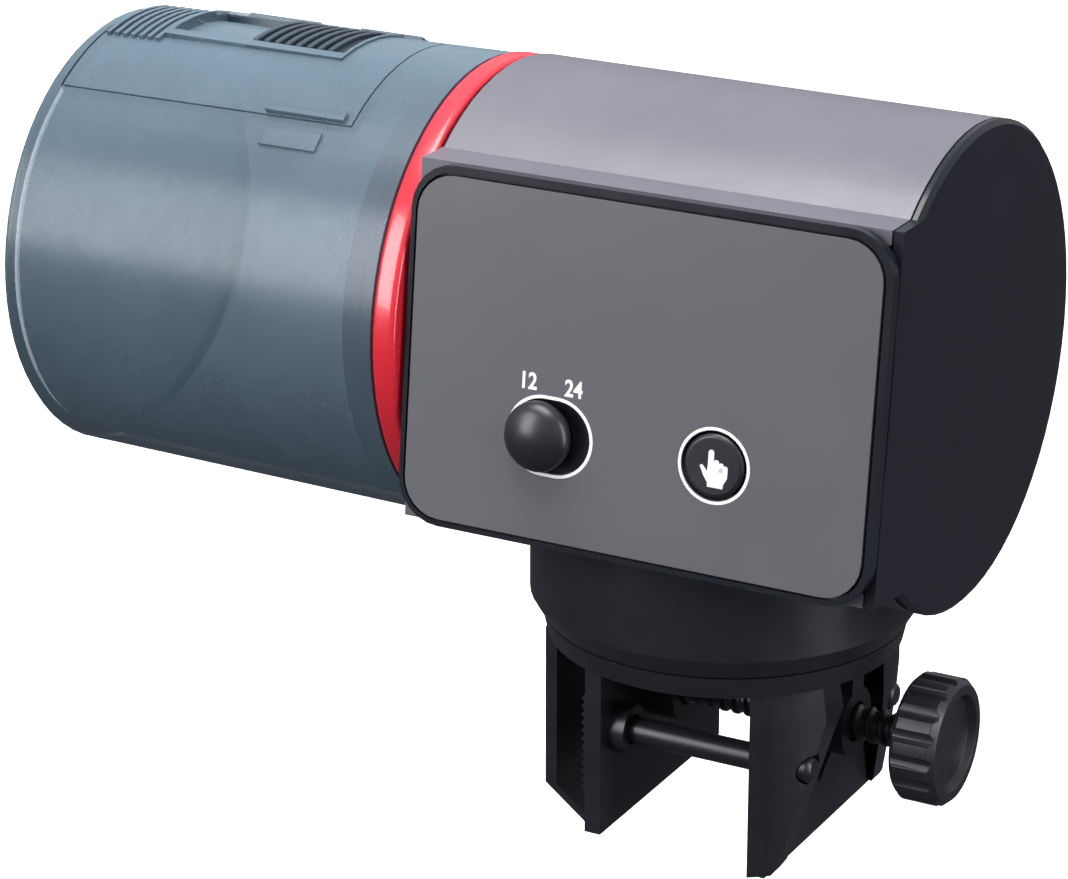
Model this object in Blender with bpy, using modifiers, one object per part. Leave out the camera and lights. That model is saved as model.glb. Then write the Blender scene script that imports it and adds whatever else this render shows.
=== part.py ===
"""Clamp-on automatic fish feeder: a food drum turned by a geared motor in a swivelling housing."""

import math

import bmesh
import bpy
from mathutils import Matrix, Vector

MM = 0.001
ROUND_STEPS = 64

# Driving dimensions, in millimetres. The origin is on the swivel axis, at the ceiling of the clamp.
AXIS_Z = 46.5
BODY_R = 35.0
WALL = 2.0
BODY_X0 = -35.0
BODY_X1 = 36.2
CAP_X0 = 36.5
CAP_X1 = 38.0
TILT = math.radians(6.66)
PANEL_TOP = 24.2
PANEL_BOTTOM = -27.6
PANEL_X0 = -34.9
PANEL_X1 = 37.9
PLATE_BACK = 30.7
PLATE_FRONT = 32.7
OVERLAY_BACK = 32.0
OVERLAY_FRONT = 32.85
DRUM_X0 = -103.3
DRUM_X1 = -39.6
DRUM_R0 = 33.6
DRUM_R1 = 34.5
DRUM_WALL = 1.6
LID_X0 = -101.2
LID_X1 = -50.6
LID_FRONT = 54.0
LID_REAR = 124.0
HINGE_R = 34.9
HINGE_ANGLE = 127.5
WINDOW_X0 = -75.0
WINDOW_X1 = -63.0
GAP = 0.3
CELL_X = 7.4
DOOR_X0 = -21.0
DOOR_X1 = 33.0
GEAR_TEETH = 48
PINION_TEETH = 12
GEAR_MODULE = 0.8
GEAR_X0 = -27.0
GEAR_X1 = -23.0
PINION_DISTANCE = GEAR_MODULE * (GEAR_TEETH + PINION_TEETH) / 2
KNOB_X = -12.6
KNOB_V = -11.5
BUTTON_X = 14.0
BUTTON_V = -11.2
JAW_X0 = -12.8
JAW_X1 = -10.2
LEG_X0 = 14.2
LEG_X1 = 16.7
SCREW_Z = -10.9
ROD_Z = -12.6
ROD_Y = 14.7

ALONG_X = Matrix.Translation((0, 0, AXIS_Z)) @ Matrix.Rotation(math.radians(90), 4, "Y")
PANEL = Matrix.Translation((0, 0, AXIS_Z)) @ Matrix.Rotation(-TILT, 4, "X")

for old in list(bpy.data.objects):
    bpy.data.objects.remove(old)
feeder = bpy.data.collections.new("fish_feeder")
bpy.context.scene.collection.children.link(feeder)


def material(name, colour, roughness, metallic=0.0, alpha=1.0):
    made = bpy.data.materials.new(name)
    made.use_nodes = True
    shader = made.node_tree.nodes["Principled BSDF"]
    shader.inputs["Base Color"].default_value = (*colour, 1.0)
    shader.inputs["Roughness"].default_value = roughness
    shader.inputs["Metallic"].default_value = metallic
    shader.inputs["Alpha"].default_value = alpha
    made.diffuse_color = (*colour, alpha)
    return made


def mesh_of(bm):
    """A mesh in metres from a bmesh in millimetres, with its normals facing out."""
    bmesh.ops.recalc_face_normals(bm, faces=bm.faces)
    bmesh.ops.scale(bm, vec=(MM, MM, MM), verts=bm.verts)
    mesh = bpy.data.meshes.new("solid")
    bm.to_mesh(mesh)
    bm.free()
    return mesh


def solid(mesh):
    """An unnamed working object, outside the feeder's collection until it is finished."""
    made = bpy.data.objects.new("work", mesh)
    bpy.context.scene.collection.objects.link(made)
    return made


def evaluated(obj):
    """The object's mesh with its modifiers applied; the object itself is removed."""
    bpy.context.view_layer.update()
    graph = bpy.context.evaluated_depsgraph_get()
    mesh = bpy.data.meshes.new_from_object(obj.evaluated_get(graph), depsgraph=graph)
    bpy.data.objects.remove(obj)
    return mesh


def is_flat_pole(vert):
    """Whether a vertex is the middle of a flat round end, which is better as one face."""
    if vert.co.xy.length > 1e-8:
        return False
    return all(abs(edge.other_vert(vert).co.z - vert.co.z) < 1e-8 for edge in vert.link_edges)


def turned(points, steps, place):
    """A profile of (radius, height) points turned about local Z and then placed."""
    bm = bmesh.new()
    corners = [bm.verts.new((radius * MM, 0, height * MM)) for radius, height in points]
    for first, second in zip(corners, corners[1:] + corners[:1]):
        if first.co.x > 1e-7 or second.co.x > 1e-7:
            bm.edges.new((first, second))
    profile = bpy.data.meshes.new("profile")
    bm.to_mesh(profile)
    bm.free()
    obj = solid(profile)
    screw = obj.modifiers.new("turn", "SCREW")
    screw.axis = "Z"
    screw.steps = steps
    screw.render_steps = steps
    screw.use_merge_vertices = True
    screw.merge_threshold = 0.00001
    bm = bmesh.new()
    bm.from_mesh(evaluated(obj))
    bmesh.ops.remove_doubles(bm, verts=bm.verts, dist=0.000001)
    bmesh.ops.dissolve_verts(bm, verts=[vert for vert in bm.verts if is_flat_pole(vert)])
    bmesh.ops.scale(bm, vec=(1 / MM, 1 / MM, 1 / MM), verts=bm.verts)
    bmesh.ops.transform(bm, matrix=place, verts=bm.verts)
    return solid(mesh_of(bm))


def cylinder(radius, low, high, steps=32, place=Matrix.Identity(4), top_radius=None):
    """A cylinder or cone along local Z from low to high."""
    bm = bmesh.new()
    bmesh.ops.create_cone(
        bm,
        cap_ends=True,
        segments=steps,
        radius1=radius,
        radius2=radius if top_radius is None else top_radius,
        depth=high - low,
    )
    bmesh.ops.translate(bm, vec=(0, 0, (low + high) / 2), verts=bm.verts)
    bmesh.ops.transform(bm, matrix=place, verts=bm.verts)
    return solid(mesh_of(bm))


def rod_x(radius, low, high, y, z, steps=32):
    place = Matrix.Translation((0, y, z)) @ Matrix.Rotation(math.radians(90), 4, "Y")
    return cylinder(radius, low, high, steps, place)


def box(low, high, place=Matrix.Identity(4)):
    bm = bmesh.new()
    bmesh.ops.create_cube(bm, size=1)
    size = [b - a for a, b in zip(low, high)]
    middle = [(a + b) / 2 for a, b in zip(low, high)]
    bmesh.ops.scale(bm, vec=size, verts=bm.verts)
    bmesh.ops.translate(bm, vec=middle, verts=bm.verts)
    bmesh.ops.transform(bm, matrix=place, verts=bm.verts)
    return solid(mesh_of(bm))


def prism(outline, depth, place):
    """A polygon in local XY, extruded from z = 0 to depth and then placed."""
    bm = bmesh.new()
    face = bm.faces.new([bm.verts.new((x, y, 0)) for x, y in outline])
    grown = bmesh.ops.extrude_face_region(bm, geom=[face])["geom"]
    moved = [item for item in grown if isinstance(item, bmesh.types.BMVert)]
    bmesh.ops.translate(bm, vec=(0, 0, depth), verts=moved)
    bmesh.ops.transform(bm, matrix=place, verts=bm.verts)
    return solid(mesh_of(bm))


def combine(target, others, operation):
    for other in others:
        cut = target.modifiers.new("combine", "BOOLEAN")
        cut.operation = operation
        cut.solver = "EXACT"
        cut.object = other
    result = solid(evaluated(target))
    for other in others:
        bpy.data.objects.remove(other)
    return result


def join(target, *others):
    return combine(target, others, "UNION")


def cut(target, *others):
    return combine(target, others, "DIFFERENCE")


def common(target, *others):
    return combine(target, others, "INTERSECT")


def node(name, obj, look, pivot=(0, 0, 0), smooth=32):
    """Names a finished solid, puts its origin on its joint's axis and files it in the collection."""
    shift = Vector(pivot) * MM
    obj.data.transform(Matrix.Translation(-shift))
    obj.location = shift
    obj.name = name
    obj.data.name = name
    obj.data.materials.clear()
    obj.data.materials.append(look)
    for polygon in obj.data.polygons:
        polygon.use_smooth = True
    obj.data.set_sharp_from_angle(angle=math.radians(smooth))
    bpy.context.scene.collection.objects.unlink(obj)
    feeder.objects.link(obj)


def rounded(x0, x1, v0, v1, radius, steps=6):
    """A rectangle's outline with round corners."""
    outline = []
    centres = [(x1 - radius, v1 - radius, 0), (x0 + radius, v1 - radius, 90)]
    centres += [(x0 + radius, v0 + radius, 180), (x1 - radius, v0 + radius, 270)]
    for cx, cv, start in centres:
        for step in range(steps + 1):
            angle = math.radians(start + 90 * step / steps)
            outline.append((cx + radius * math.cos(angle), cv + radius * math.sin(angle)))
    return outline


def on_panel(out):
    """Local XY becomes along the panel and up it, and Z out of it, starting out millimetres from the axis."""
    turn = Matrix(((1, 0, 0, 0), (0, 0, -1, -out), (0, 1, 0, 0), (0, 0, 0, 1)))
    return PANEL @ turn


def polar(radius, degrees):
    """Y and Z at an angle measured up from the front, about the drum's axis."""
    angle = math.radians(degrees)
    return -radius * math.cos(angle), AXIS_Z + radius * math.sin(angle)


def sector(x0, x1, first, last, inner, outer, steps=None):
    """A block between two angles and two radii about the drum's axis, used to cut or to add."""
    count = steps or max(2, round((last - first) / 6))
    arc = [first + (last - first) * step / count for step in range(count + 1)]
    outline = [polar(outer, angle) for angle in arc]
    outline += [polar(inner, angle) for angle in reversed(arc)]
    place = Matrix(((0, 0, 1, x0), (1, 0, 0, 0), (0, 1, 0, 0), (0, 0, 0, 1)))
    return prism(outline, x1 - x0, place)


def drum_radius(x):
    return DRUM_R0 + (DRUM_R1 - DRUM_R0) * (x - DRUM_X0) / (DRUM_X1 - DRUM_X0)


def drum_wall():
    """The drum as a cup, open towards the housing, its end wall set in behind a rim."""
    near = DRUM_R1 - DRUM_WALL
    far = DRUM_R0 - DRUM_WALL
    points = [
        (DRUM_R1, DRUM_X1),
        (near, DRUM_X1),
        (far, DRUM_X0 + 1.9),
        (0, DRUM_X0 + 1.9),
        (0, DRUM_X0 + 0.5),
        (far - 1.4, DRUM_X0 + 0.5),
        (far - 0.9, DRUM_X0),
        (DRUM_R0 - 0.8, DRUM_X0),
        (DRUM_R0, DRUM_X0 + 0.8),
    ]
    return turned(points, ROUND_STEPS, ALONG_X)


def gear(teeth, bore, x0, x1, y, z, phase):
    """A spur gear with straight-flanked teeth, one of them centred at the phase angle."""
    pitch_r = GEAR_MODULE * teeth / 2
    root = pitch_r - 1.15 * GEAR_MODULE
    tip = pitch_r + 0.85 * GEAR_MODULE
    step = 2 * math.pi / teeth
    outline = []
    for tooth in range(teeth):
        middle = phase + tooth * step
        for share, radius in ((-0.33, root), (-0.11, tip), (0.11, tip), (0.33, root)):
            angle = middle + share * step
            outline.append((radius * math.cos(angle), radius * math.sin(angle)))
    place = Matrix(((0, 0, 1, x0), (1, 0, 0, y), (0, 1, 0, z), (0, 0, 0, 1)))
    return cut(prism(outline, x1 - x0, place), rod_x(bore, x0 - 1, x1 + 1, y, z, 24))


def boss_profile(grow):
    """The panel boss's outline, out from the axis and up, grown on every side."""
    top = PANEL_TOP + grow
    bottom = PANEL_BOTTOM - grow
    return [(18, bottom), (PLATE_BACK - GAP, bottom), (PLATE_BACK - GAP, top), (18, top + 1.3)]


def boss(x0, x1, grow):
    """The block under the panel, joined to the round housing."""
    outline = [(-out, up) for out, up in boss_profile(grow)]
    place = PANEL @ Matrix(((0, 0, 1, x0), (1, 0, 0, 0), (0, 1, 0, 0), (0, 0, 0, 1)))
    return prism(outline, x1 - x0, place)


def panel_side():
    """Everything in front of the flat seat that the panel rests on."""
    return box((-60, -60, -50), (60, GAP - PLATE_BACK - 0.01, 50), PANEL)


def build_clamp(black, steel):
    base = cylinder(26.2, 0, 3.2, ROUND_STEPS, top_radius=26.9)
    post = cylinder(6.0, 3.0, 6.3, 32)
    side = Matrix(((1, 0, 0, 0), (0, 0, 1, -20.5), (0, 1, 0, 0), (0, 0, 0, 1)))
    wall = prism([(LEG_X0, 1), (LEG_X1, 1), (LEG_X1, -28.5), (LEG_X0, -28.5)], 41, side)
    flange = [(LEG_X0 + 0.2, 1), (22.0, 1), (22.5, -5.5), (21.0, -13.5), (17.9, -27.3), (17.2, -28.4)]
    flange += [(LEG_X0 + 0.2, -28.4)]
    ring = turned([(26.0, -28.4), (26.0, 1.2), (23.6, 1.2), (23.6, -28.4)], ROUND_STEPS, Matrix.Identity(4))
    flanges = common(ring, prism(flange, 60, Matrix.Translation((0, -30, 0)) @ turn_up()))
    rib = prism(
        [(LEG_X0 + 1, 1), (21.6, 1), (21.6, -6), (16.4, -22), (LEG_X0 + 1, -22)],
        4.0,
        Matrix.Translation((0, -2.0, 0)) @ turn_up(),
    )
    hub = rod_x(5.2, LEG_X0 + 0.5, 21.5, 0, SCREW_Z, 40)
    left_face = [(-15, 1), (15, 1), (15, -24.2), (1, -37.6), (-1, -37.6), (-15, -24.2)]
    left = prism(left_face, 1.9, Matrix(((0, 0, 1, -22.0), (1, 0, 0, 0), (0, 1, 0, 0), (0, 0, 0, 1))))
    lip = [(-22.6, 1), (-20.6, 1), (-20.6, -3.5), (-21.9, -6.0)]
    stiffener = prism(lip, 26, Matrix.Translation((0, -13, 0)) @ turn_up())
    base = join(base, post, wall, flanges, rib, hub, left, stiffener)
    holes = [rod_x(3.05, LEG_X0 - 1, 22.5, 0, SCREW_Z, 32)]
    for side_y in (-ROD_Y, ROD_Y):
        holes.append(rod_x(2.3, LEG_X0 - 1, 30, side_y, ROD_Z, 24))
    holes.append(cylinder(2.1, 1.0, 7, 24))
    node("clamp_base", cut(base, *holes), black)
    washer = turned([(2.3, 6.6), (11.0, 6.6), (11.0, 7.8), (2.3, 7.8)], 40, Matrix.Identity(4))
    node("retaining_washer", washer, steel)
    screw = turned(
        [(0, 1.4), (1.8, 1.4), (1.8, 8.1), (4.2, 8.1), (4.2, 9.6), (3.4, 10.3), (0, 10.3)],
        24,
        Matrix.Identity(4),
    )
    slot = box((-4.5, -0.5, 9.5), (4.5, 0.5, 11))
    node("pivot_screw", cut(screw, slot), steel)


def turn_up():
    """Local XY becomes X and Z, and local Z becomes Y."""
    return Matrix(((1, 0, 0, 0), (0, 0, 1, 0), (0, 1, 0, 0), (0, 0, 0, 1)))


def build_jaw(black, steel):
    outline = [(JAW_X1, -0.7), (JAW_X1, -28.1), (JAW_X0, -28.1), (JAW_X0, -21.6)]
    tooth = -21.6
    while tooth < -6.6:
        outline += [(JAW_X0 - 0.6, tooth + 0.65), (JAW_X0, tooth + 1.3)]
        tooth += 1.3
    outline.append((JAW_X0, -0.7))
    plate = prism(outline, 40, Matrix.Translation((0, -20, 0)) @ turn_up())
    parts = [rod_x(5.4, JAW_X1 - 0.5, -5.8, 0, SCREW_Z, 32)]
    holes = [rod_x(3.05, -10.0, -5, 0, SCREW_Z, 32)]
    for y in (-ROD_Y, ROD_Y):
        parts.append(rod_x(3.7, JAW_X1 - 0.5, -7.4, y, ROD_Z, 24))
        holes.append(rod_x(2.3, -11.5, -6, y, ROD_Z, 24))
    node("moving_jaw", cut(join(plate, *parts), *holes), black)
    for name, y in (("guide_rod_front", -ROD_Y), ("guide_rod_back", ROD_Y)):
        place = Matrix.Translation((0, y, ROD_Z)) @ Matrix.Rotation(math.radians(90), 4, "Y")
        shape = [(0, -11.2), (2.0, -11.2), (2.0, 20.9), (1.4, 21.6), (0, 21.6)]
        node(name, turned(shape, 24, place), steel)


def build_screw(black, steel):
    pivot = (0, 0, SCREW_Z)
    place = Matrix.Translation(pivot) @ Matrix.Rotation(math.radians(90), 4, "Y")
    shank = [(0, -9.7), (2.0, -9.7), (2.7, -9.0), (2.7, 33.6), (0, 33.6)]
    node("clamp_screw", turned(shank, 32, place), steel, pivot)
    grip = [(0, 34.0), (3.1, 34.0), (3.1, 30.3), (8.6, 30.3), (9.5, 31.2), (9.5, 36.4), (8.6, 37.4)]
    grip += [(7.2, 37.4), (6.6, 36.2), (0, 36.2)]
    knob = turned(grip, 64, place)
    flutes = []
    for step in range(16):
        angle = 2 * math.pi * step / 16
        y = 10.3 * math.cos(angle)
        z = SCREW_Z + 10.3 * math.sin(angle)
        flutes.append(rod_x(1.35, 29, 39, y, z, 12))
    node("clamp_knob", cut(knob, *flutes), black, pivot)


def build_neck(black):
    outer = [(27.0, 3.5), (28.8, 6.6), (28.8, 27.5), (26.8, 27.5), (26.8, 6.6), (25.6, 5.9)]
    outer += [(6.3, 5.9), (6.3, 3.5)]
    shell = turned(outer, ROUND_STEPS, Matrix.Identity(4))
    body = rod_x(BODY_R + GAP, -40, 40, 0, AXIS_Z, ROUND_STEPS)
    node("neck_shell", cut(shell, body, boss(-40, 40, GAP)), black)


def build_housing(grey, black, overlay):
    drum_side = turned(
        [(0, BODY_X0), (34.6, BODY_X0), (35.0, BODY_X0 + 0.4), (35.0, BODY_X1), (0, BODY_X1)],
        ROUND_STEPS,
        ALONG_X,
    )
    shell = cut(join(drum_side, boss(PANEL_X0, BODY_X1, 0.0)), panel_side())
    inside = rod_x(BODY_R - WALL, BODY_X0 + WALL, 40, 0, AXIS_Z, ROUND_STEPS)
    mouth = prism(
        rounded(PANEL_X0 + WALL, 42, PANEL_BOTTOM + WALL, PANEL_TOP - WALL, 1.0, 2), 16, on_panel(18)
    )
    bearing = rod_x(4.3, BODY_X0 - 1, BODY_X0 + 6, 0, AXIS_Z, 32)
    door = sector(DOOR_X0 - GAP, DOOR_X1 + GAP, 149.0, 212.0, 30.0, 38.0)
    shell = cut(shell, mouth, inside, bearing, door)
    node("housing_shell", shell, grey)
    build_cap(black)
    plate = prism(
        rounded(PANEL_X0, PANEL_X1, PANEL_BOTTOM, PANEL_TOP, 6.6),
        PLATE_FRONT - PLATE_BACK,
        on_panel(PLATE_BACK),
    )
    pocket = prism(rounded(-34.2, 36.9, -26.9, 23.1, 5.9), 3.0, on_panel(31.7))
    slot = prism(rounded(-15.0, -8.2, -13.9, -9.1, 2.39), 6.0, on_panel(29))
    hole = cylinder(4.9, 28, 35, 32, on_panel(0) @ Matrix.Translation((BUTTON_X, BUTTON_V, 0)))
    node("front_panel", cut(plate, pocket, slot, hole), black)
    sheet = prism(
        rounded(-33.8, 36.5, -26.5, 22.7, 5.5),
        OVERLAY_FRONT - OVERLAY_BACK,
        on_panel(OVERLAY_BACK),
    )
    well = prism(
        rounded(KNOB_X - 4.9, KNOB_X + 7.6, KNOB_V - 5.25, KNOB_V + 5.25, 5.24),
        6.0,
        on_panel(29),
    )
    hole = cylinder(4.9, 28, 35, 32, on_panel(0) @ Matrix.Translation((BUTTON_X, BUTTON_V, 0)))
    node("panel_overlay", cut(sheet, well, hole), overlay)


def build_cap(black):
    round_part = turned(
        [(0, CAP_X0), (35.0, CAP_X0), (35.0, CAP_X0 + 0.7), (34.3, CAP_X1 - 0.2), (30, CAP_X1), (0, CAP_X1)],
        ROUND_STEPS,
        ALONG_X,
    )
    square_part = boss(CAP_X0 + 0.02, CAP_X1 - 0.1, 0.0)
    lip = turned(
        [(30.9, 33.2), (32.6, 33.2), (32.6, CAP_X0 + 0.3), (30.9, CAP_X0 + 0.3)],
        ROUND_STEPS,
        ALONG_X,
    )
    keep = box((30, -40, AXIS_Z - 22), (40, 40, AXIS_Z + 20))
    lip = common(lip, keep)
    lip = cut(lip, box((30, -40, 0), (42, -18, 100)))
    cap = join(cut(round_part, panel_side()), square_part, lip)
    node("end_cap", cap, black)


def build_battery_bay(grey, black, steel, cell):
    door = common(
        turned(
            [(33.0, DOOR_X0), (35.0, DOOR_X0), (35.0, DOOR_X1), (33.0, DOOR_X1)],
            ROUND_STEPS,
            ALONG_X,
        ),
        sector(DOOR_X0 - 1, DOOR_X1 + 1, 149.5, 211.5, 30.0, 38.0),
    )
    ribs = []
    for step in range(11):
        x = -9.0 + 3.0 * step
        ribs.append(sector(x, x + 1.0, 153.0, 158.0, 34.8, 35.5, 2))
    y, z = polar(35.0, 211.8)
    node("battery_door", join(door, *ribs), grey, (0, y, z))
    for number, z in ((1, 7.6), (2, -7.6)):
        place = Matrix.Translation((0, 21.0, AXIS_Z + z)) @ Matrix.Rotation(math.radians(90), 4, "Y")
        side = 1 if number == 1 else -1
        ends = [(0, -24.4), (7.1, -24.4), (7.1, 23.6), (2.7, 23.6), (2.7, 24.8), (0, 24.8)]
        shape = [(radius, CELL_X + side * height) for radius, height in ends]
        node(f"battery_{number}", turned(shape, 32, place), cell)
    tray = box((-21.6, 12.2, AXIS_Z - 16.4), (35.9, 24.6, AXIS_Z + 16.4))
    room = box((-20.4, 13.4, AXIS_Z - 15.2), (34.7, 26.0, AXIS_Z + 15.2))
    corner = cut(box((-28, 0, 0), (40, 40, 100)), rod_x(32.6, -30, 42, 0, AXIS_Z, ROUND_STEPS))
    node("battery_tray", cut(tray, room, corner), black)
    for name, x0, x1, low, high, z in (
        ("contact_near", -20.1, -19.5, -19.7, -17.4, 7.6),
        ("contact_far", 33.8, 34.4, 32.1, 34.0, -7.6),
    ):
        plate = box((x0, 14.4, AXIS_Z - 13.8), (x1, 24.0, AXIS_Z + 13.8))
        node(name, join(plate, rod_x(2.6, low, high, 21.0, AXIS_Z + z, 20)), steel)


def build_electronics(board_look, black, steel):
    board = prism(rounded(-29.0, 29.0, -20.0, 17.0, 1.5, 2), 1.6, on_panel(22.4))
    chip = box((-1.0, -26.0, -2.0), (11.0, -23.9, 8.0), PANEL)
    node("circuit_board", join(board, chip), board_look)
    body = box((KNOB_X - 4.2, -27.6, KNOB_V - 3.4), (KNOB_X + 6.2, -24.3, KNOB_V + 3.4), PANEL)
    node("slide_switch_body", body, steel)
    push = box((BUTTON_X - 3.0, -27.0, BUTTON_V - 3.0), (BUTTON_X + 3.0, -24.3, BUTTON_V + 3.0), PANEL)
    plunger = cylinder(1.6, 26.8, 28.0, 20, on_panel(0) @ Matrix.Translation((BUTTON_X, BUTTON_V, 0)))
    node("push_switch", join(push, plunger), black)


def build_controls(black):
    place = on_panel(0) @ Matrix.Translation((KNOB_X, KNOB_V, 0))
    dome = [(0, 27.9), (1.9, 27.9), (1.9, 33.2), (5.0, 33.2), (5.0, 34.2), (4.6, 35.0), (3.6, 35.7)]
    dome += [(2.0, 36.2), (0, 36.4)]
    y, z = KNOB_V * math.sin(TILT), AXIS_Z + KNOB_V * math.cos(TILT)
    node("mode_knob", turned(dome, 40, place), black, (KNOB_X, y, z))
    place = on_panel(0) @ Matrix.Translation((BUTTON_X, BUTTON_V, 0))
    cap = [(0, 29.1), (6.1, 29.1), (6.1, 30.4), (4.55, 30.4), (4.55, 32.7), (4.1, 33.1), (0, 33.1)]
    node("manual_button", turned(cap, 40, place), black)


def build_drive(white, steel, brass):
    place = ALONG_X
    points = [(0, -38.4), (4.0, -38.4), (4.0, -16.0), (0, -16.0)]
    node("drive_shaft", turned(points, 32, place), steel, (0, 0, AXIS_Z))
    wheel = gear(GEAR_TEETH, 4.3, GEAR_X0, GEAR_X1, 0, AXIS_Z, math.radians(-90))
    node("drive_gear", wheel, white, (0, 0, AXIS_Z))
    pinion_z = AXIS_Z - PINION_DISTANCE
    half = math.pi / PINION_TEETH
    pinion = gear(PINION_TEETH, 1.3, GEAR_X0 - 0.5, GEAR_X1 + 0.5, 0, pinion_z, math.radians(90) + half)
    node("motor_pinion", pinion, brass, (0, 0, pinion_z))
    can = rod_x(7.4, -18.0, 4.0, 0, pinion_z, 40)
    boss_part = rod_x(2.6, -20.0, -17.5, 0, pinion_z, 24)
    axle = rod_x(1.0, -28.0, -19.0, 0, pinion_z, 20)
    tail = rod_x(1.6, 3.5, 5.0, 0, pinion_z, 20)
    node("motor", join(can, boss_part, axle, tail), steel)
    frame = box((-21.6, -11.5, AXIS_Z - 30.0), (-18.3, 11.5, AXIS_Z + 9.0))
    round_off = cut(box((-30, -40, 0), (-10, 40, 100)), rod_x(32.6, -40, 0, 0, AXIS_Z, ROUND_STEPS))
    bore = rod_x(4.3, -30, -10, 0, AXIS_Z, 32)
    seat = rod_x(2.9, -30, -10, 0, pinion_z, 24)
    node("gearbox_frame", cut(frame, round_off, bore, seat), white)


def build_drum(smoke, red, black):
    collar = [(34.4, -35.6), (34.8, -36.2), (34.8, -38.6), (34.4, -39.3), (32.5, -39.3), (32.3, -45.6)]
    collar += [(30.4, -45.6), (30.4, -41.2), (0, -41.2), (0, -38.8), (4.3, -38.8), (4.3, -35.6)]
    collar += [(7.0, -35.6), (7.0, -38.9), (30.6, -38.9), (30.6, -35.6)]
    node("drive_collar", turned(collar, ROUND_STEPS, ALONG_X), red, (0, 0, AXIS_Z))
    knuckle_y, knuckle_z = polar(HINGE_R, HINGE_ANGLE)
    shell = drum_wall()
    opening = sector(LID_X0, LID_X1, LID_FRONT, LID_REAR, 25.0, 40.0)
    shell = cut(shell, opening)
    tab = sector(-64.0, -54.5, 45.5, 50.5, 33.6, drum_radius(-59) + 0.5, 3)
    knuckles = []
    for x0, x1 in ((-99.0, -92.0), (-78.0, -72.0), (-60.0, -53.0)):
        leaf = sector(x0, x1, HINGE_ANGLE - 0.5, HINGE_ANGLE + 4.5, 32.9, 35.6, 2)
        knuckles.append(join(rod_x(1.4, x0, x1, knuckle_y, knuckle_z, 20), leaf))
    clears = []
    for x0, x1 in ((-91.7, -78.3), (-71.7, -60.3)):
        clears.append(rod_x(1.8, x0, x1, knuckle_y, knuckle_z, 20))
    shell = cut(join(shell, tab, *knuckles), *clears)
    bore = rod_x(0.75, LID_X0, LID_X1, knuckle_y, knuckle_z, 16)
    node("drum_shell", cut(shell, bore), smoke, (0, 0, AXIS_Z))
    build_lid(smoke, black, knuckle_y, knuckle_z)


def build_lid(smoke, black, knuckle_y, knuckle_z):
    pivot = (0, knuckle_y, knuckle_z)
    lid = common(
        drum_wall(),
        sector(LID_X0 + GAP, LID_X1 - GAP, LID_FRONT + 0.5, LID_REAR - 0.5, 25.0, 40.0),
    )
    catch = sector(-65.2, -52.0, LID_FRONT + 0.7, LID_FRONT + 3.2, 33.0, drum_radius(-58) + 0.9, 2)
    grips = []
    for step in range(7):
        x = -100.2 + 1.45 * step
        grips.append(sector(x, x + 0.75, 75.0, 102.0, 33.0, drum_radius(x) + 0.65, 5))
    hinge = []
    for x0, x1 in ((-91.4, -78.6), (-71.4, -60.6)):
        leaf = sector(x0, x1, LID_REAR - 5.0, HINGE_ANGLE - 0.5, 34.6, 35.6, 2)
        root = sector(x0, x1, LID_REAR - 5.0, LID_REAR - 1.5, 33.0, 35.0, 1)
        hinge.append(join(rod_x(1.4, x0, x1, knuckle_y, knuckle_z, 20), leaf, root))
    frame = sector(-90.6, WINDOW_X1 + 3.2, 77.4, 107.6, 33.2, 34.62)
    lid = join(lid, catch, frame, *grips, *hinge)
    clears = []
    for x0, x1 in ((-99.3, -91.7), (-78.3, -71.7), (-60.3, -52.7)):
        clears.append(rod_x(1.75, x0, x1, knuckle_y, knuckle_z, 20))
    window = sector(WINDOW_X0, WINDOW_X1, 83.0, 102.0, 25.0, 40.0)
    track = sector(-90.0, WINDOW_X1 + 2.6, 78.5, 106.5, 33.0, 34.12)
    slot = sector(-90.0, WINDOW_X1 + 2.6, 80.3, 104.7, 33.6, 40.0)
    bore = rod_x(0.75, LID_X0 - 1, LID_X1 + 1, knuckle_y, knuckle_z, 16)
    lid = cut(lid, *clears, window, track, slot, bore)
    node("drum_lid", lid, smoke, pivot)
    pin = rod_x(0.5, -98.6, -53.4, knuckle_y, knuckle_z, 12)
    node("lid_hinge_pin", pin, black, pivot)
    plate = sector(-77.2, WINDOW_X1 + 2.2, 79.2, 105.8, 33.25, 33.85)
    ridges = []
    for step in range(8):
        x = -76.4 + 1.85 * step
        ridges.append(sector(x, x + 1.0, 80.9, 104.1, 33.5, 34.62, 5))
    node("feed_gate", join(plate, *ridges), smoke)


def build():
    black = material("satin_black_plastic", (0.018, 0.018, 0.022), 0.38)
    grey = material("satin_grey_plastic", (0.16, 0.16, 0.19), 0.42)
    overlay = material("panel_grey", (0.11, 0.105, 0.115), 0.45)
    smoke = material("smoky_clear_plastic", (0.16, 0.22, 0.27), 0.12, alpha=0.45)
    red = material("red_plastic", (0.55, 0.02, 0.03), 0.3)
    steel = material("zinc_plated_steel", (0.55, 0.55, 0.56), 0.3, 1.0)
    white = material("white_nylon", (0.75, 0.75, 0.72), 0.5)
    brass = material("brass", (0.72, 0.55, 0.25), 0.3, 1.0)
    cell = material("cell_wrap", (0.05, 0.12, 0.3), 0.4)
    board = material("board_green", (0.02, 0.16, 0.06), 0.5)
    build_clamp(black, steel)
    build_jaw(black, steel)
    build_screw(black, steel)
    build_neck(black)
    build_housing(grey, black, overlay)
    build_battery_bay(grey, black, steel, cell)
    build_electronics(board, black, steel)
    build_controls(black)
    build_drive(white, steel, brass)
    build_drum(smoke, red, black)


build()
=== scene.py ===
import math

import bmesh
import bpy
from mathutils import Matrix, Vector


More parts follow.
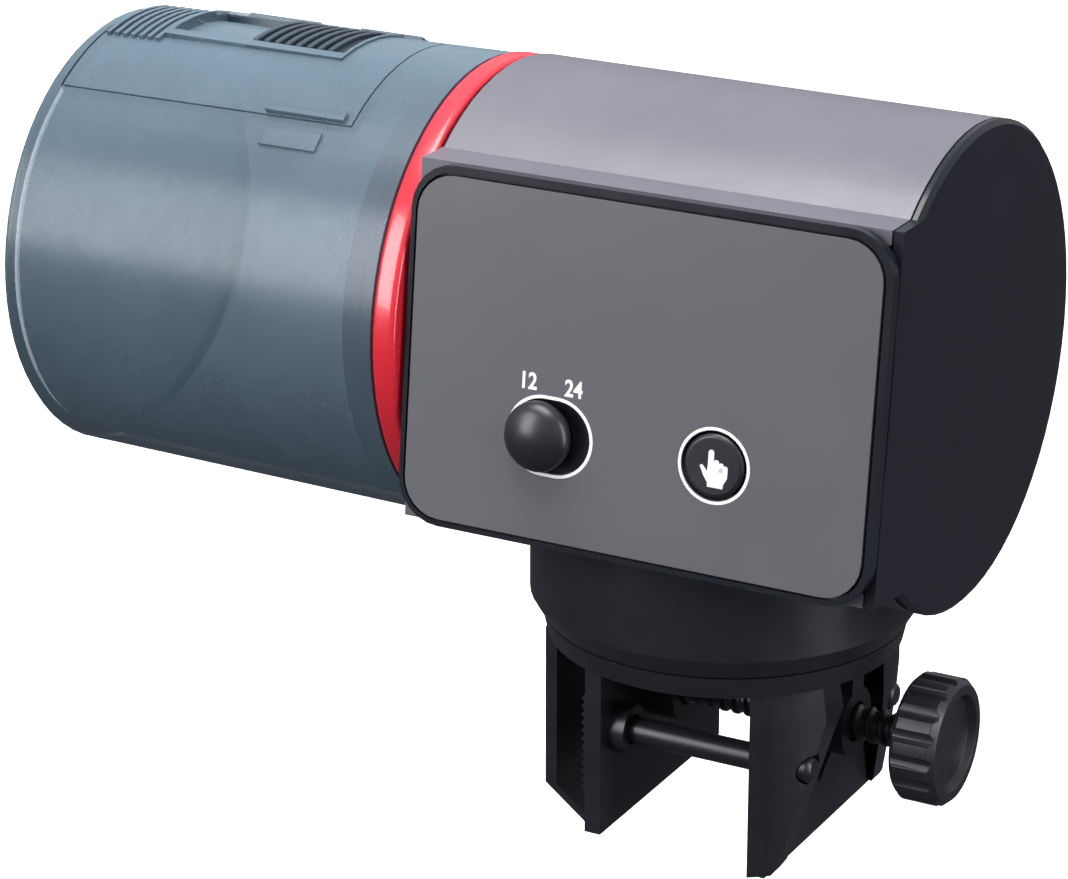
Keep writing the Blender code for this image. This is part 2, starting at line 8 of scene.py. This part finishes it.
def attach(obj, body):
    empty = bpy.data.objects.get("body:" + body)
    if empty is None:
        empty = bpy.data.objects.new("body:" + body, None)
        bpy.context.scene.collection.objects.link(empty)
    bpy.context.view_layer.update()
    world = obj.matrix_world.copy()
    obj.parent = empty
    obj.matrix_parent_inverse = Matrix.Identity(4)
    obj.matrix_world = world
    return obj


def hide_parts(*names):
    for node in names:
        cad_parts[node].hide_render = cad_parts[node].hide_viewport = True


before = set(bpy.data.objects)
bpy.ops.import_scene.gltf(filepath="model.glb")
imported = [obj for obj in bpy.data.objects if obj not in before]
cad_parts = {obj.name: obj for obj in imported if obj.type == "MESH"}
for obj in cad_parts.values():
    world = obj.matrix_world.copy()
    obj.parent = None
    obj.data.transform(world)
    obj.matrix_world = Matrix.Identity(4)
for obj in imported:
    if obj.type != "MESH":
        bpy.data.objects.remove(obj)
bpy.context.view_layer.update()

# ---- Housing and battery door -------------------------------------------------------------
# The motor housing is one injection moulding in satin grey ABS.
# The battery door is the same plastic, cut from the same curve, and snaps into the back.

MM = 0.001
AXIS_Z = 0.0465
TILT = math.radians(6.66)
WELD = 0.000004
FLAT_ANGLE = math.radians(0.6)
GRAIN = 5200.0


def refined(node, body, look, width, angle, segments):
    """A copy of a CAD node with its edges rounded, standing for that node."""
    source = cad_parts[node]
    mesh = source.data.copy()
    piece = bpy.data.objects.new(node + "_moulded", mesh)
    bpy.context.scene.collection.objects.link(piece)
    bm = bmesh.new()
    bm.from_mesh(mesh)
    bmesh.ops.transform(bm, matrix=source.matrix_world, verts=bm.verts)
    bmesh.ops.remove_doubles(bm, verts=bm.verts, dist=WELD)
    bmesh.ops.dissolve_limit(bm, angle_limit=FLAT_ANGLE, verts=bm.verts, edges=bm.edges)
    for face in bm.faces:
        face.smooth = True
    bm.to_mesh(mesh)
    bm.free()
    bevel = piece.modifiers.new("edges", "BEVEL")
    bevel.width = width
    bevel.segments = segments
    bevel.limit_method = "ANGLE"
    bevel.angle_limit = math.radians(angle)
    bevel.use_clamp_overlap = True
    normals = piece.modifiers.new("normals", "WEIGHTED_NORMAL")
    normals.keep_sharp = False
    mesh.materials.clear()
    mesh.materials.append(look)
    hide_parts(node)
    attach(piece, body)


def node_material(name):
    look = bpy.data.materials.new(name)
    look.use_nodes = True
    tree = look.node_tree
    shader = tree.nodes["Principled BSDF"]
    place = tree.nodes.new("ShaderNodeTexCoord")
    return look, tree, shader, place.outputs["Object"]


def noise(tree, source, scale, detail=3.0, roughness=0.5):
    made = tree.nodes.new("ShaderNodeTexNoise")
    made.inputs["Scale"].default_value = scale
    made.inputs["Detail"].default_value = detail
    made.inputs["Roughness"].default_value = roughness
    tree.links.new(source, made.inputs["Vector"])
    return made.outputs["Fac"]


def remap(tree, value, low, high, first=0.3, last=0.7):
    made = tree.nodes.new("ShaderNodeMapRange")
    made.inputs["From Min"].default_value = first
    made.inputs["From Max"].default_value = last
    made.inputs["To Min"].default_value = low
    made.inputs["To Max"].default_value = high
    tree.links.new(value, made.inputs["Value"])
    return made.outputs["Result"]


def mixed(tree, factor, first, second):
    made = tree.nodes.new("ShaderNodeMix")
    made.data_type = "RGBA"
    tree.links.new(factor, made.inputs["Factor"])
    made.inputs[6].default_value = (*first, 1)
    made.inputs[7].default_value = (*second, 1)
    return made.outputs[2]


def coloured(tree, shader, pattern, first, second):
    """The base colour, going from one colour to the other over a pattern from 0 to 1."""
    tree.links.new(mixed(tree, pattern, first, second), shader.inputs["Base Color"])


def bumped(tree, shader, height, strength, distance):
    made = tree.nodes.new("ShaderNodeBump")
    made.inputs["Strength"].default_value = strength
    made.inputs["Distance"].default_value = distance
    tree.links.new(height, made.inputs["Height"])
    tree.links.new(made.outputs["Normal"], shader.inputs["Normal"])


def moulded_plastic(name, dark, light, rough_low, rough_high, coat=0.0, bump=0.12, shine=0.5):
    """Injection-moulded plastic: a fine grain, slow changes of colour and handled patches that shine."""
    look, tree, shader, source = node_material(name)
    cloud = noise(tree, source, 38.0, 4.0, 0.6)
    coloured(tree, shader, remap(tree, cloud, 0.0, 1.0), dark, light)
    wipes = noise(tree, source, 120.0, 5.0, 0.65)
    tree.links.new(remap(tree, wipes, rough_low, rough_high), shader.inputs["Roughness"])
    bumped(tree, shader, noise(tree, source, GRAIN, 2.0), bump, 0.00006)
    shader.inputs["Coat Weight"].default_value = coat
    shader.inputs["Coat Roughness"].default_value = 0.12
    shader.inputs["Specular IOR Level"].default_value = shine
    return look


grey = moulded_plastic("satin_grey", (0.080, 0.080, 0.098), (0.100, 0.099, 0.118), 0.36, 0.46, coat=0.05)
black = moulded_plastic("satin_black", (0.010, 0.011, 0.014), (0.016, 0.017, 0.021), 0.28, 0.40, shine=0.45)
gloss_black = moulded_plastic(
    "polished_black", (0.009, 0.010, 0.014), (0.012, 0.013, 0.018), 0.2, 0.28, bump=0.03, shine=0.3
)

refined("housing_shell", "head", grey, 0.0008, 30, 4)
refined("battery_door", "door", grey, 0.0003, 30, 2)

# ---- End cap ------------------------------------------------------------------------------
# A polished black cover closes the motor end. It is a separate moulding with a rolled rim,
# held by a lip that snaps inside the housing.

refined("end_cap", "head", gloss_black, 0.0006, 30, 4)

# ---- Control panel ------------------------------------------------------------------------
# A black frame moulding seats on the flat front of the housing, and a printed grey sheet is
# stuck into its recess. Rings, numerals and the hand sign are screen-printed in white ink.

panel_turn = Matrix.Translation((0, 0, AXIS_Z)) @ Matrix.Rotation(-TILT, 4, "X")
SHEET_FRONT = 32.85
KNOB_X = -12.6
KNOB_V = -11.5
BUTTON_X = 14.0
BUTTON_V = -11.2

sheet_look, tree, shader, source = node_material("printed_sheet")
cloud = noise(tree, source, 24.0, 3.0)
coloured(tree, shader, remap(tree, cloud, 0.0, 1.0), (0.078, 0.077, 0.085), (0.092, 0.090, 0.099))
tree.links.new(remap(tree, noise(tree, source, 90.0, 5.0, 0.7), 0.40, 0.52), shader.inputs["Roughness"])
bumped(tree, shader, noise(tree, source, 7500.0, 2.0), 0.16, 0.00005)

ink_look, tree, shader, source = node_material("white_ink")
speck = noise(tree, source, 2600.0, 3.0, 0.6)
coloured(tree, shader, remap(tree, speck, 0.0, 1.0, 0.25, 0.5), (0.62, 0.62, 0.63), (0.86, 0.86, 0.86))
shader.inputs["Roughness"].default_value = 0.45
bumped(tree, shader, speck, 0.15, 0.00003)

refined("front_panel", "head", gloss_black, 0.0005, 30, 3)
refined("panel_overlay", "head", sheet_look, 0.00012, 30, 2)


def on_panel(x, v, out):
    """A point on the panel: along it, up it, and out from the drum's axis, in millimetres."""
    return panel_turn @ Vector((x * MM, -out * MM, v * MM))


def ringed(bm, rows, closed=True):
    """Joins each row of corners to the next one, and the last to the first where closed."""
    following = rows[1:] + rows[:1] if closed else rows[1:]
    for first, second in zip(rows, following):
        count = len(first)
        for i in range(count):
            j = (i + 1) % count
            bm.faces.new((first[i], first[j], second[j], second[i]))


def riding(name, bm, body, look):
    """The finished piece: its faces turned outwards, in one material, moving with a body."""
    bmesh.ops.recalc_face_normals(bm, faces=bm.faces)
    mesh = bpy.data.meshes.new(name)
    bm.to_mesh(mesh)
    bm.free()
    mesh.materials.append(look)
    piece = bpy.data.objects.new(name, mesh)
    bpy.context.scene.collection.objects.link(piece)
    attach(piece, body)


def flat_print(name, outline, out, body, look, thick=0.03):
    """A closed outline on the panel, in millimetres, as a thin layer of ink."""
    bm = bmesh.new()
    low = [bm.verts.new(on_panel(x, v, out)) for x, v in outline]
    high = [bm.verts.new(on_panel(x, v, out + thick)) for x, v in outline]
    bm.faces.new(high)
    bm.faces.new(list(reversed(low)))
    ringed(bm, [low, high], closed=False)
    riding(name, bm, body, look)


def stadium(cx, cv, half, radius, steps=24):
    """A slot shape: two half circles joined by straight sides."""
    points = []
    for side, start in ((1, -90), (-1, 90)):
        for step in range(steps + 1):
            angle = math.radians(start + 180 * step / steps)
            points.append((cx + side * half + radius * math.cos(angle), cv + radius * math.sin(angle)))
    return points


def band(name, outer, inner, out, body, look, thick=0.03):
    """The strip between two matching outlines."""
    bm = bmesh.new()
    rows = [
        [bm.verts.new(on_panel(x, v, depth)) for x, v in line]
        for line, depth in ((outer, out), (outer, out + thick), (inner, out + thick), (inner, out))
    ]
    ringed(bm, rows)
    riding(name, bm, body, look)


ring_x = KNOB_X + 1.35
for name, middle_x, v, half, outer, inner in (
    ("mode_ring", ring_x, KNOB_V, 1.0, 5.75, 5.3),
    ("button_ring", BUTTON_X, BUTTON_V, 0.0, 5.4, 4.97),
):
    edges = stadium(middle_x, v, half, outer), stadium(middle_x, v, half, inner)
    band(name, *edges, SHEET_FRONT, "head", ink_look)


def numeral(name, words, x, v, height):
    """A number printed on the panel."""
    text = bpy.data.curves.new(name + "_text", "FONT")
    text.body = words
    text.size = height * MM
    text.align_x = "CENTER"
    text.align_y = "CENTER"
    text.extrude = 0.000015
    text.offset = 0.00008
    holder = bpy.data.objects.new(name + "_text", text)
    bpy.context.scene.collection.objects.link(holder)
    bpy.context.view_layer.update()
    graph = bpy.context.evaluated_depsgraph_get()
    mesh = bpy.data.meshes.new_from_object(holder.evaluated_get(graph))
    bpy.data.objects.remove(holder)
    stand = Matrix(((0.85, 0, 0, 0), (0, 0, -1, 0), (0, 1, 0, 0), (0, 0, 0, 1)))
    mesh.transform(panel_turn @ Matrix.Translation((x * MM, -(SHEET_FRONT + 0.015) * MM, v * MM)) @ stand)
    mesh.materials.clear()
    mesh.materials.append(ink_look)
    piece = bpy.data.objects.new(name, mesh)
    bpy.context.scene.collection.objects.link(piece)
    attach(piece, "head")


numeral("numeral_12", "12", -15.0, -4.2, 3.3)
numeral("numeral_24", "24", -7.9, -4.3, 3.3)

# ---- Mode switch knob and press button ------------------------------------------------------
# The slide switch has a domed black knob on a stem. The button is a short black cap that
# springs back, with a pointing hand printed on it.

refined("mode_knob", "mode", black, 0.0002, 30, 3)
refined("manual_button", "button", black, 0.0002, 30, 3)


def pill(cx, cv, half_width, low, high, steps=10):
    """A finger: a strip with a round top."""
    points = [(cx - half_width, cv + low), (cx + half_width, cv + low)]
    for step in range(steps + 1):
        angle = math.pi * step / steps
        points.append((cx + half_width * math.cos(angle), cv + high + half_width * math.sin(angle)))
    return points


hand_x = BUTTON_X
hand_v = BUTTON_V - 0.2
fingers = [
    pill(hand_x - 0.35, hand_v, 0.42, -0.5, 2.05),
    pill(hand_x + 0.48, hand_v, 0.40, -0.5, 0.75),
    pill(hand_x + 1.22, hand_v, 0.38, -0.5, 0.45),
    pill(hand_x + 1.88, hand_v, 0.34, -0.6, 0.15),
]
palm = [(-0.8, 0.1), (-0.8, -0.6), (-1.65, 0.25), (-2.0, 0.05), (-1.3, -1.35), (-0.75, -2.1), (-0.7, -2.75)]
palm += [(1.6, -2.75), (1.7, -2.1), (2.2, -1.2), (2.2, -0.2), (1.4, 0.1)]
BUTTON_FRONT = 33.10
flat_print("hand_palm", [(hand_x + x, hand_v + v) for x, v in palm], BUTTON_FRONT, "button", ink_look)
for number, finger in enumerate(fingers):
    layer = 0.028 + 0.001 * number
    flat_print(f"hand_finger_{number}", finger, BUTTON_FRONT, "button", ink_look, layer)

# ---- Neck and clamp -------------------------------------------------------------------------
# The neck cup under the housing, the clamp it swivels on and the jaw are black ABS mouldings.
# A washer and a screw inside the neck hold the two together.

refined("neck_shell", "head", black, 0.0004, 30, 3)
refined("clamp_base", "clamp", black, 0.0004, 30, 3)
refined("moving_jaw", "jaw", black, 0.0002, 40, 2)

steel_look, tree, shader, source = node_material("zinc_plate")
cloud = noise(tree, source, 300.0, 4.0)
coloured(tree, shader, remap(tree, cloud, 0.0, 1.0), (0.42, 0.42, 0.43), (0.62, 0.62, 0.62))
tree.links.new(remap(tree, noise(tree, source, 900.0, 4.0), 0.24, 0.42), shader.inputs["Roughness"])
shader.inputs["Metallic"].default_value = 1.0
bumped(tree, shader, noise(tree, source, 4200.0, 2.0), 0.1, 0.00004)

# ---- Guide rods, clamp screw and hand knob --------------------------------------------------
# Two plain black rods keep the jaw square. The moulded screw has a coarse thread of 2 mm
# pitch and carries a fluted hand knob.

for name in ("guide_rod_front", "guide_rod_back"):
    refined(name, "jaw", black, 0.0002, 30, 2)

SCREW_Z = -10.9
PITCH = 2.0
CREST = 2.68
ROOT = 2.2


def threaded(name, x0, x1, steps=28):
    """A core with a helical ridge wound round it."""
    bm = bmesh.new()
    turn = Matrix.Translation(((x0 + x1) / 2, 0, SCREW_Z)) @ Matrix.Rotation(math.radians(90), 4, "Y")
    bmesh.ops.create_cone(
        bm, cap_ends=True, segments=32, radius1=ROOT, radius2=ROOT, depth=x1 - x0, matrix=turn
    )
    count = int((x1 - x0 - PITCH) / PITCH * steps)
    rows = []
    for i in range(count + 1):
        angle = 2 * math.pi * i / steps
        middle = x0 + PITCH / 2 + PITCH * i / steps
        fade = min(1.0, i / 12, (count - i) / 12)
        row = []
        for dx, radius in ((-0.8, ROOT - 0.1), (-0.2, CREST), (0.2, CREST), (0.8, ROOT - 0.1)):
            r = ROOT - 0.1 + (radius - ROOT + 0.1) * fade
            row.append(bm.verts.new((middle + dx, r * math.cos(angle), SCREW_Z + r * math.sin(angle))))
        rows.append(row)
    ringed(bm, rows, closed=False)
    bmesh.ops.recalc_face_normals(bm, faces=bm.faces)
    bmesh.ops.scale(bm, vec=(MM, MM, MM), verts=bm.verts)
    for face in bm.faces:
        face.smooth = True
    mesh = bpy.data.meshes.new(name)
    bm.to_mesh(mesh)
    bm.free()
    mesh.set_sharp_from_angle(angle=math.radians(35))
    mesh.materials.append(black)
    piece = bpy.data.objects.new(name, mesh)
    bpy.context.scene.collection.objects.link(piece)
    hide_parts("clamp_screw")
    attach(piece, "screw")


threaded("clamp_thread", -9.7, 33.6)
refined("clamp_knob", "screw", black, 0.0004, 30, 3)

# ---- Food drum, lid and feed gate -----------------------------------------------------------
# The drum is a clear moulding tinted smoke blue, with a wall of 1.6 mm. The lid is cut from
# the same curve and turns on a pin, and the ribbed gate slides in it over the feed window.


def smoky_plastic(name, tint, body_colour, body_share):
    """Tinted clear plastic: light passes through with a tint, over a body colour and a polished skin."""
    look, tree, shader, source = node_material(name)
    flow = noise(tree, source, 55.0, 4.0, 0.55)
    dark = tuple(c * 0.85 for c in body_colour)
    coloured(tree, shader, remap(tree, flow, 0.0, 1.0), dark, body_colour)
    tree.links.new(remap(tree, noise(tree, source, 140.0, 5.0, 0.7), 0.25, 0.31), shader.inputs["Roughness"])
    bumped(tree, shader, noise(tree, source, 900.0, 3.0), 0.03, 0.00004)
    clear = tree.nodes.new("ShaderNodeBsdfTransparent")
    deep = tuple(c * 0.94 for c in tint)
    tree.links.new(mixed(tree, remap(tree, flow, 0.0, 1.0), deep, tint), clear.inputs["Color"])
    blend = tree.nodes.new("ShaderNodeMixShader")
    edge = tree.nodes.new("ShaderNodeLayerWeight")
    edge.inputs["Blend"].default_value = 0.22
    tree.links.new(remap(tree, edge.outputs["Facing"], body_share, 0.98, 0.0, 0.55), blend.inputs["Fac"])
    tree.links.new(clear.outputs["BSDF"], blend.inputs[1])
    tree.links.new(shader.outputs["BSDF"], blend.inputs[2])
    output = tree.nodes["Material Output"]
    tree.links.new(blend.outputs["Shader"], output.inputs["Surface"])
    return look


smoke = smoky_plastic("smoke_clear", (0.78, 0.79, 0.83), (0.10, 0.15, 0.19), 0.42)
smoke_dark = smoky_plastic("smoke_ribs", (0.40, 0.46, 0.54), (0.03, 0.045, 0.06), 0.75)

refined("drum_shell", "drum", smoke, 0.0003, 30, 2)


def arc_strip(name, x0, x1, first, last, inner, outer, look, steps):
    """A thin raised strip that follows the drum's curve. Angles are measured up from the front."""
    bm = bmesh.new()
    rows = []
    for step in range(steps + 1):
        angle = math.radians(first + (last - first) * step / steps)
        row = []
        for x, radius in ((x0, inner), (x1, inner), (x1, outer), (x0, outer)):
            y = -radius * math.cos(angle) * MM
            row.append(bm.verts.new((x * MM, y, AXIS_Z + radius * math.sin(angle) * MM)))
        rows.append(row)
    ringed(bm, rows, closed=False)
    bm.faces.new(rows[0])
    bm.faces.new(list(reversed(rows[-1])))
    riding(name, bm, "drum", look)


# Four quarter strips round the drum's outer end are painted shade: a dark, nearly opaque tinted plastic laid
# on the end edge for the shadow along the drum's edge.
painted_shade_rim_look = smoky_plastic("smoke_rim_painted_shade", (0.30, 0.34, 0.40), (0.02, 0.035, 0.05), 0.85)
for number in range(4):
    start = 90.0 * number
    edges = -103.28, -102.5, start + 0.1, start + 89.9
    arc_strip(f"painted_shade_rim_{number}", *edges, 31.6, 33.0, painted_shade_rim_look, 16)
refined("drum_lid", "lid", smoke, 0.0003, 30, 2)
refined("feed_gate", "gate", smoke_dark, 0.0002, 30, 2)

# ---- Drive collar ---------------------------------------------------------------------------
# The bright red collar couples the drum to the motor shaft. Its spigot reaches into the drum, with bayonet
# lugs round it under the tinted wall.
# The lugs are coloured in a dark red, a shaded copy of the collar's red: painted shade for the red spigot
# seen dim inside the drum.

red, tree, shader, source = node_material("gloss_red")
cloud = noise(tree, source, 45.0, 4.0)
coloured(tree, shader, remap(tree, cloud, 0.0, 1.0), (0.50, 0.012, 0.025), (0.62, 0.02, 0.035))
tree.links.new(remap(tree, noise(tree, source, 160.0, 5.0, 0.7), 0.2, 0.3), shader.inputs["Roughness"])
bumped(tree, shader, noise(tree, source, 3800.0, 2.0), 0.06, 0.00004)
shader.inputs["Coat Weight"].default_value = 0.25
refined("drive_collar", "drum", red, 0.0003, 30, 2)
# Painted shade: the collar's red darkened to a dark wine red, for the spigot seen dim through the tinted
# drum.
painted_shade_red = moulded_plastic("red_in_painted_shade", (0.10, 0.004, 0.010), (0.14, 0.006, 0.014), 0.3, 0.4)
for number in range(6):
    start = 60.0 * number - 22.0
    end = start + 44.0
    arc_strip(f"bayonet_near_{number}", -40.4, -39.9, start, end, 32.25, 32.55, painted_shade_red, 10)
    arc_strip(f"bayonet_far_{number}", -42.9, -42.4, start, end, 32.25, 32.5, painted_shade_red, 10)

# ---- Inner parts ----------------------------------------------------------------------------
# Motor, gears, cells and board sit inside the closed housing. They show only when a door is
# open or through the drum, so they keep their plain forms.

nylon = moulded_plastic("natural_nylon", (0.62, 0.61, 0.56), (0.74, 0.73, 0.68), 0.4, 0.55)
brass, tree, shader, source = node_material("turned_brass")
cloud = noise(tree, source, 200.0, 4.0)
coloured(tree, shader, remap(tree, cloud, 0.0, 1.0), (0.55, 0.38, 0.13), (0.72, 0.53, 0.22))
shader.inputs["Metallic"].default_value = 1.0
tree.links.new(remap(tree, noise(tree, source, 700.0, 4.0), 0.22, 0.38), shader.inputs["Roughness"])
wrap = moulded_plastic("cell_sleeve", (0.02, 0.06, 0.16), (0.03, 0.09, 0.22), 0.25, 0.35, coat=0.4)
board_look = moulded_plastic("solder_mask", (0.008, 0.09, 0.03), (0.012, 0.13, 0.045), 0.3, 0.45)

INNER = {
    "retaining_washer": steel_look, "pivot_screw": steel_look, "battery_tray": black,
    "battery_1": wrap, "battery_2": wrap, "contact_near": steel_look, "contact_far": steel_look,
    "circuit_board": board_look, "slide_switch_body": steel_look, "push_switch": black,
    "motor": steel_look, "gearbox_frame": nylon, "motor_pinion": brass, "drive_shaft": steel_look,
    "drive_gear": nylon, "lid_hinge_pin": steel_look,
}
for name, look in INNER.items():
    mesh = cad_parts[name].data
    mesh.materials.clear()
    mesh.materials.append(look)

# ---- Floor, camera and light ----------------------------------------------------------------
# A plain pale sweep below the clamp, a long lens from the front right and above, and soft
# boxes: one overhead, one at the left, a strip at the right and a large one behind.

floor_mesh = bpy.data.meshes.new("floor")
floor_bm = bmesh.new()
bmesh.ops.create_grid(floor_bm, x_segments=1, y_segments=1, size=6.0)
floor_bm.to_mesh(floor_mesh)
floor_bm.free()
floor = bpy.data.objects.new("floor", floor_mesh)
floor.location = (0, 0, -0.30)
floor_look, tree, shader, source = node_material("pale_floor")
cloud = noise(tree, source, 3.0, 4.0)
coloured(tree, shader, remap(tree, cloud, 0.0, 1.0), (0.86, 0.86, 0.87), (0.9, 0.9, 0.9))
shader.inputs["Roughness"].default_value = 0.8
floor_mesh.materials.append(floor_look)
bpy.context.scene.collection.objects.link(floor)
floor.visible_diffuse = False
floor.visible_glossy = False

camera_data = bpy.data.cameras.new("camera")
camera_data.lens = 132.45
camera_data.sensor_width = 36.0
camera_data.sensor_fit = "HORIZONTAL"
camera_data.clip_start = 0.01
camera = bpy.data.objects.new("camera", camera_data)
camera.location = (0.22913, -0.48147, 0.23023)
camera.rotation_euler = (math.radians(69.32), 0, math.radians(28.48))
bpy.context.scene.collection.objects.link(camera)
bpy.context.scene.camera = camera


def soft_box(name, place, aim, width, height, power, colour=(1, 1, 1)):
    data = bpy.data.lights.new(name, "AREA")
    data.shape = "RECTANGLE"
    data.size = width
    data.size_y = height
    data.energy = power
    data.color = colour
    lamp = bpy.data.objects.new(name, data)
    lamp.location = place
    lamp.rotation_euler = (Vector(aim) - Vector(place)).to_track_quat("-Z", "Y").to_euler()
    bpy.context.scene.collection.objects.link(lamp)
    return lamp


middle = (-0.03, 0, 0.04)
soft_box("overhead", (-0.1, -0.15, 0.75), middle, 0.55, 0.35, 7.0)
soft_box("front_left", (-0.5, -0.7, 0.35), middle, 0.35, 0.6, 7.0, (0.94, 0.97, 1.0))
soft_box("right_strip", (0.75, -0.1, 0.2), middle, 0.22, 0.8, 5.0, (0.94, 0.97, 1.0))
backdrop = soft_box("backdrop", (-0.9, 1.5, 1.6), (-0.9, 1.5, -0.3), 2.4, 2.4, 90.0)
backdrop.visible_glossy = False
world = bpy.data.worlds.new("studio")
world.use_nodes = True
tree = world.node_tree
place = tree.nodes.new("ShaderNodeTexCoord")
split = tree.nodes.new("ShaderNodeSeparateXYZ")
tree.links.new(place.outputs["Generated"], split.inputs["Vector"])
sky = remap(tree, split.outputs["Z"], 0.0, 1.0, -0.25, 0.35)
background = tree.nodes["Background"]
tree.links.new(mixed(tree, sky, (0.10, 0.105, 0.12), (0.80, 0.82, 0.86)), background.inputs["Color"])
background.inputs["Strength"].default_value = 0.75
bpy.context.scene.world = world
bpy.context.scene.view_settings.view_transform = "Standard"

bpy.context.view_layer.update()
